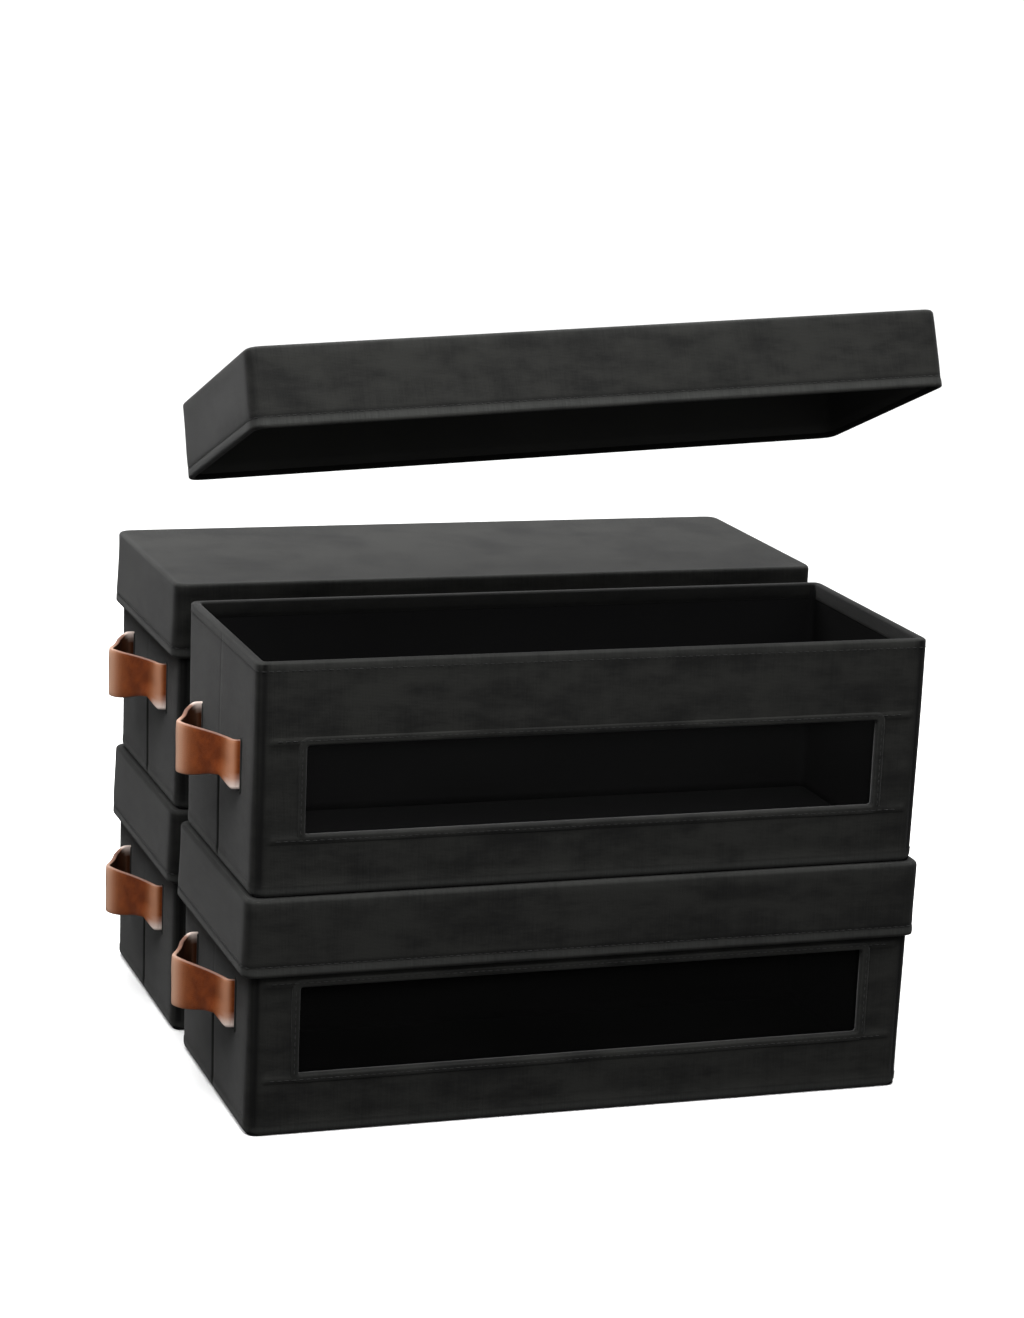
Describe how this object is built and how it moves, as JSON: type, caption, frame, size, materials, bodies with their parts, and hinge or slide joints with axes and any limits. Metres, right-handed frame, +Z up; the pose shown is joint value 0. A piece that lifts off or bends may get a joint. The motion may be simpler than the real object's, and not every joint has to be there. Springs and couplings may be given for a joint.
{
  "type": "cd storage box",
  "caption": "Stacked cloth-covered storage boxes for disc cases, each with a lift-off lid, a clear front window and leather strap handles.",
  "frame": {"origin": "middle of the set's footprint on the table, between the front and the back stack", "axes": "+X along the boxes from the left end to the right end seen from the windows, +Y from the windowed front to the back, +Z up"},
  "size_m": [0.447, 0.3492, 0.462],
  "materials": {
    "cloth": "dark charcoal plain weave cloth over board, matt",
    "lining": "black bonded cloth, matt",
    "board": "grey-brown pressed board",
    "film": "clear glossy film",
    "leather": "cognac brown smooth leather with raw pale edges",
    "cord": "twisted cotton cord"
  },
  "bodies": {
    "front_lower_box": {"front_lower_base_panel": "lining", "front_lower_front_panel": "board", "front_lower_back_panel": "board", "front_lower_end_panels": "board", "front_lower_window": "film", "front_lower_cover": "cloth", "front_lower_lining": "lining", "front_lower_left_handle": "leather", "front_lower_right_handle": "leather"},
    "front_lower_lid": {"front_lower_lid_board": "board", "front_lower_lid_skirt": "board", "front_lower_lid_cover": "cloth", "front_lower_lid_lining": "lining", "front_lower_lid_hem": "cord"},
    "front_upper_box": {"front_upper_base_panel": "lining", "front_upper_front_panel": "board", "front_upper_back_panel": "board", "front_upper_end_panels": "board", "front_upper_window": "film", "front_upper_cover": "cloth", "front_upper_lining": "lining", "front_upper_left_handle": "leather", "front_upper_right_handle": "leather"},
    "front_upper_lid": {"front_upper_lid_board": "board", "front_upper_lid_skirt": "board", "front_upper_lid_cover": "cloth", "front_upper_lid_lining": "lining", "front_upper_lid_hem": "cord"},
    "back_lower_box": {"back_lower_base_panel": "lining", "back_lower_front_panel": "board", "back_lower_back_panel": "board", "back_lower_end_panels": "board", "back_lower_window": "film", "back_lower_cover": "cloth", "back_lower_lining": "lining", "back_lower_left_handle": "leather", "back_lower_right_handle": "leather"},
    "back_lower_lid": {"back_lower_lid_board": "board", "back_lower_lid_skirt": "board", "back_lower_lid_cover": "cloth", "back_lower_lid_lining": "lining", "back_lower_lid_hem": "cord"},
    "back_upper_box": {"back_upper_base_panel": "lining", "back_upper_front_panel": "board", "back_upper_back_panel": "board", "back_upper_end_panels": "board", "back_upper_window": "film", "back_upper_cover": "cloth", "back_upper_lining": "lining", "back_upper_left_handle": "leather", "back_upper_right_handle": "leather"},
    "back_upper_lid": {"back_upper_lid_board": "board", "back_upper_lid_skirt": "board", "back_upper_lid_cover": "cloth", "back_upper_lid_lining": "lining", "back_upper_lid_hem": "cord"},
    "front_upper_hem_knot": {"front_upper_lid_cord_knot": "cord"}
  },
  "joints": [
    {"name": "front_lower_lid_lift", "type": "slide", "parent": "front_lower_box", "child": "front_lower_lid", "axis": [0, 0, 1], "range_m": [0, 0.15]},
    {"name": "front_upper_box_lift", "type": "slide", "parent": "front_lower_lid", "child": "front_upper_box", "axis": [0, 0, 1], "range_m": [0, 0.15]},
    {"name": "front_upper_lid_lift", "type": "slide", "parent": "front_upper_box", "child": "front_upper_hem_knot", "axis": [0, 0, 1], "range_m": [-0.1392, 0.03]},
    {"name": "front_upper_lid_tilt", "type": "hinge", "parent": "front_upper_hem_knot", "child": "front_upper_lid", "pos_m": [-0.20235, -0.091, 0.3744], "axis": [0.9912, 0.1323, 0], "range_deg": [-4.6, 20.3]},
    {"name": "back_stack_slide", "type": "slide", "parent": "front_lower_box", "child": "back_lower_box", "axis": [0, 1, 0], "range_m": [0, 0.15]},
    {"name": "back_lower_lid_lift", "type": "slide", "parent": "back_lower_box", "child": "back_lower_lid", "axis": [0, 0, 1], "range_m": [0, 0.15]},
    {"name": "back_upper_box_lift", "type": "slide", "parent": "back_lower_lid", "child": "back_upper_box", "axis": [0, 0, 1], "range_m": [0, 0.15]},
    {"name": "back_upper_lid_lift", "type": "slide", "parent": "back_upper_box", "child": "back_upper_lid", "axis": [0, 0, 1], "range_m": [0, 0.15]}
  ],
  "couplings": [
    {"joint": "front_upper_lid_tilt", "follows": "front_upper_lid_lift", "rad_per_m": -2.545}
  ]
}
